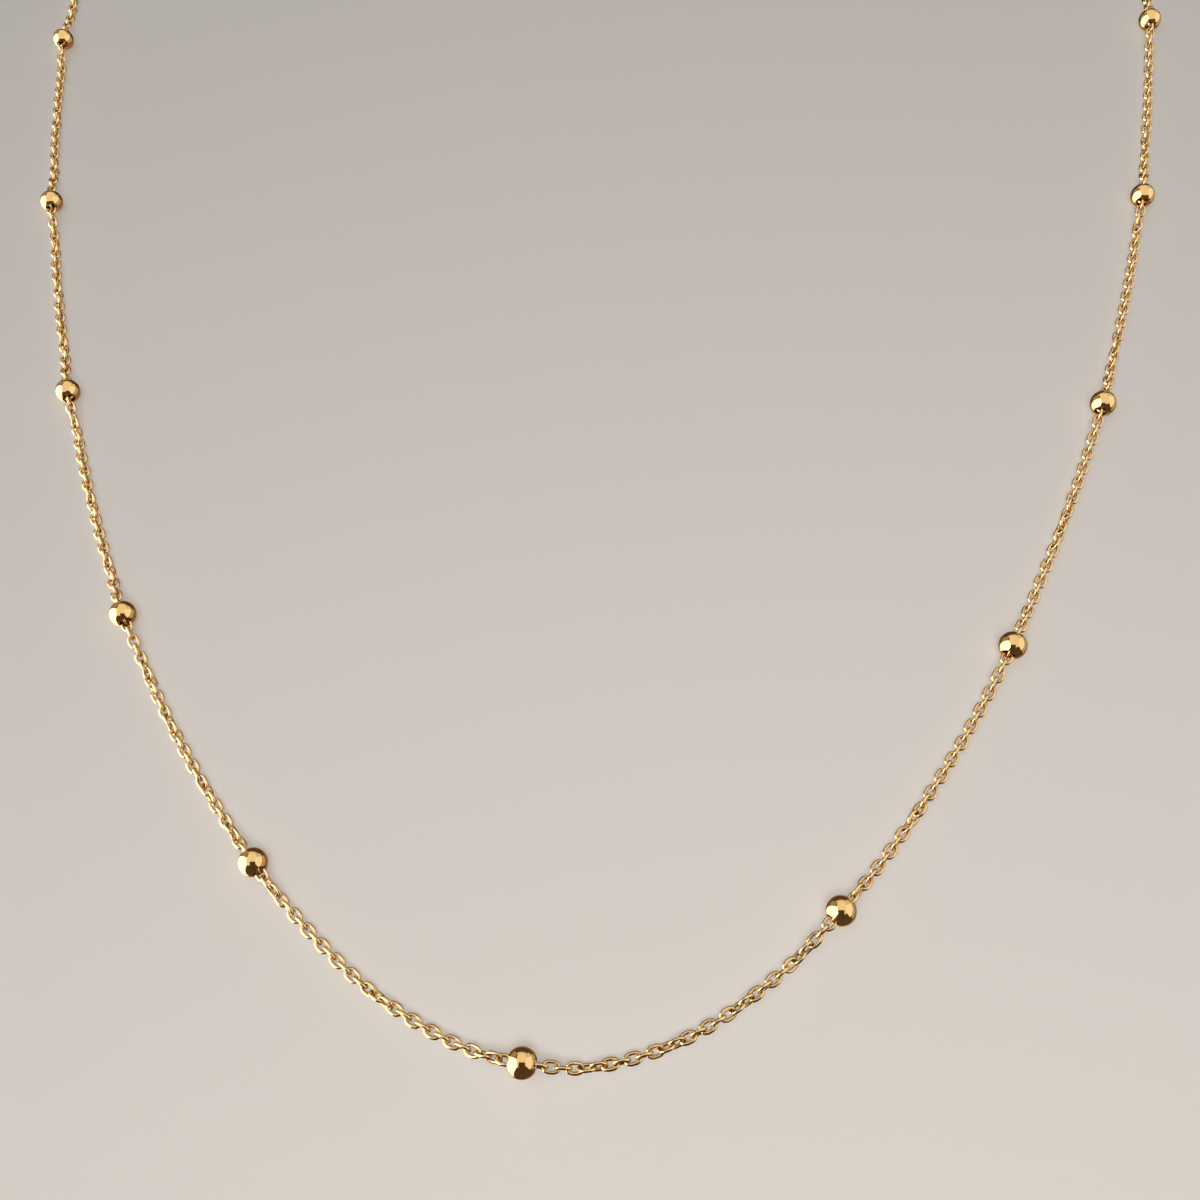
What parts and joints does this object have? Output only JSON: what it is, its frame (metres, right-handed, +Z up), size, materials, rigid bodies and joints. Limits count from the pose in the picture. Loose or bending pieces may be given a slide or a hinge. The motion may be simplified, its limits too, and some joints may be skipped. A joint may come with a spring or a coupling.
{
  "type": "choker necklace",
  "caption": "Fine oval cable chain choker with small round balls at even stations and a spring ring clasp, lying closed on a level surface.",
  "frame": {"origin": "middle of the whole box of the loop, on the surface that the balls rest on", "axes": "+X to the right, +Y from the front of the loop towards the clasp at its back, +Z up from the surface"},
  "size_m": [0.1029, 0.1528, 0.0021],
  "materials": {
    "chain": "polished yellow gold plate",
    "balls": "mirror polished yellow gold plate",
    "clasp": "polished yellow gold plate"
  },
  "bodies": {
    "root": {"chain": "chain", "bead_01": "balls", "bead_02": "balls", "bead_03": "balls", "bead_04": "balls", "bead_05": "balls", "bead_06": "balls", "bead_07": "balls", "bead_08": "balls", "bead_09": "balls", "bead_10": "balls", "bead_11": "balls", "bead_12": "balls", "bead_13": "balls", "bead_14": "balls", "bead_15": "balls", "bead_16": "balls", "bead_17": "balls", "clasp": "clasp", "clasp_ring": "clasp", "end_ring": "clasp"}
  },
  "joints": []
}
